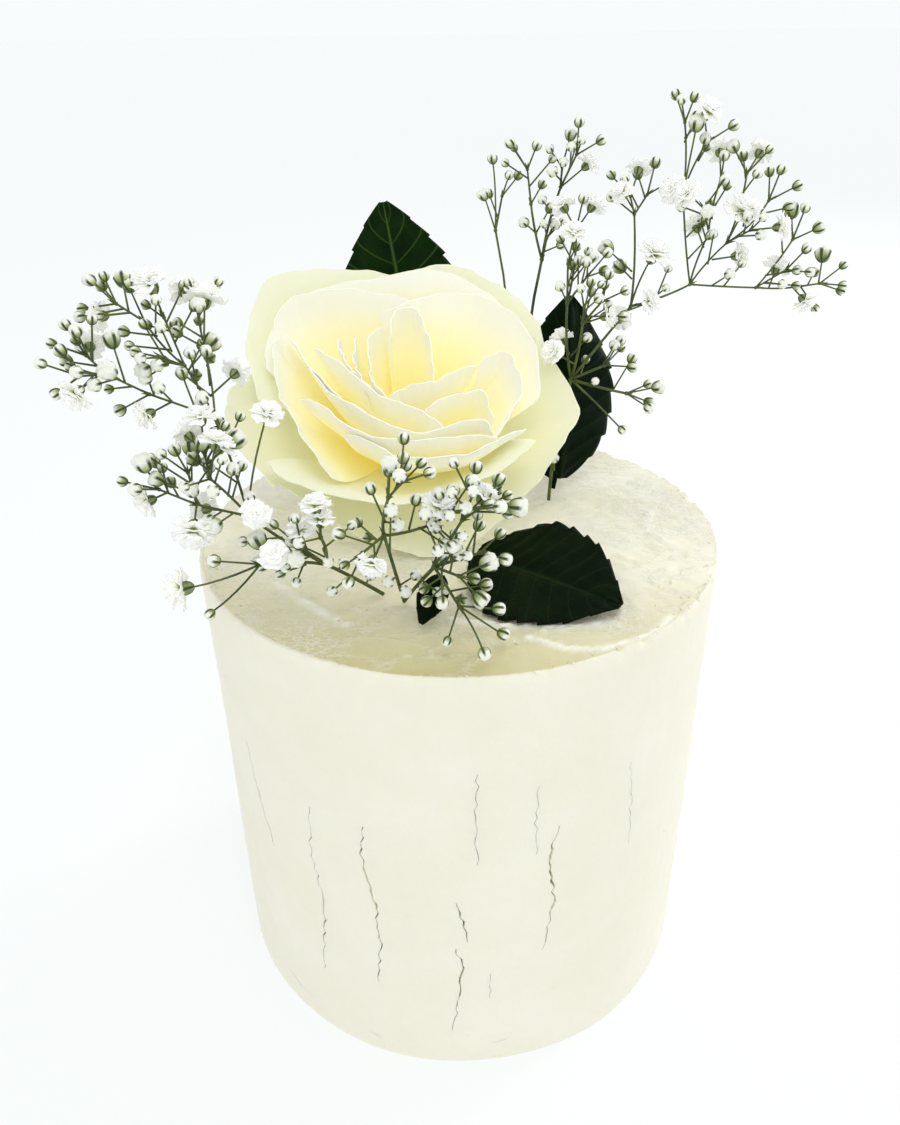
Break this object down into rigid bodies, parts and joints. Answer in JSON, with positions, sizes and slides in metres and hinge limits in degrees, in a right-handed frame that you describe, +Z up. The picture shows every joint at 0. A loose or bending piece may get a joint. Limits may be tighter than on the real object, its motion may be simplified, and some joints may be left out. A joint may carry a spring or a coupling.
{
  "type": "iced cake with fresh flowers",
  "caption": "Tall single-tier round cake in cream icing with fine cracks, topped with a white rose, dark green leaves and sprigs of baby's breath.",
  "frame": {"origin": "centre of the cake's flat underside, on the surface it stands on", "axes": "+Z up along the cake's axis, +X to the right as the picture shows it, -Y towards the camera"},
  "size_m": [0.2227, 0.16, 0.2735],
  "materials": {
    "icing": "soft satin buttercream with fine cracks and spatula marks",
    "petal": "soft matt petal, cream white with warm yellow depths",
    "rose_green": "matt green hip and sepals",
    "leaf": "dark green leaf with a soft sheen",
    "sprig": "thin olive stems with green buds",
    "blossom": "matt white ruffled blossom"
  },
  "bodies": {
    "root": {"cake": "icing", "rose": "petal", "rose_stem": "rose_green", "leaf_back": "leaf", "leaf_right": "leaf", "leaf_front": "leaf", "leaf_left": "leaf", "leaf_small": "leaf", "sprig_left": "sprig", "sprig_front": "sprig", "sprig_right": "sprig", "sprig_middle": "sprig", "sprig_thin": "sprig"}
  },
  "joints": []
}
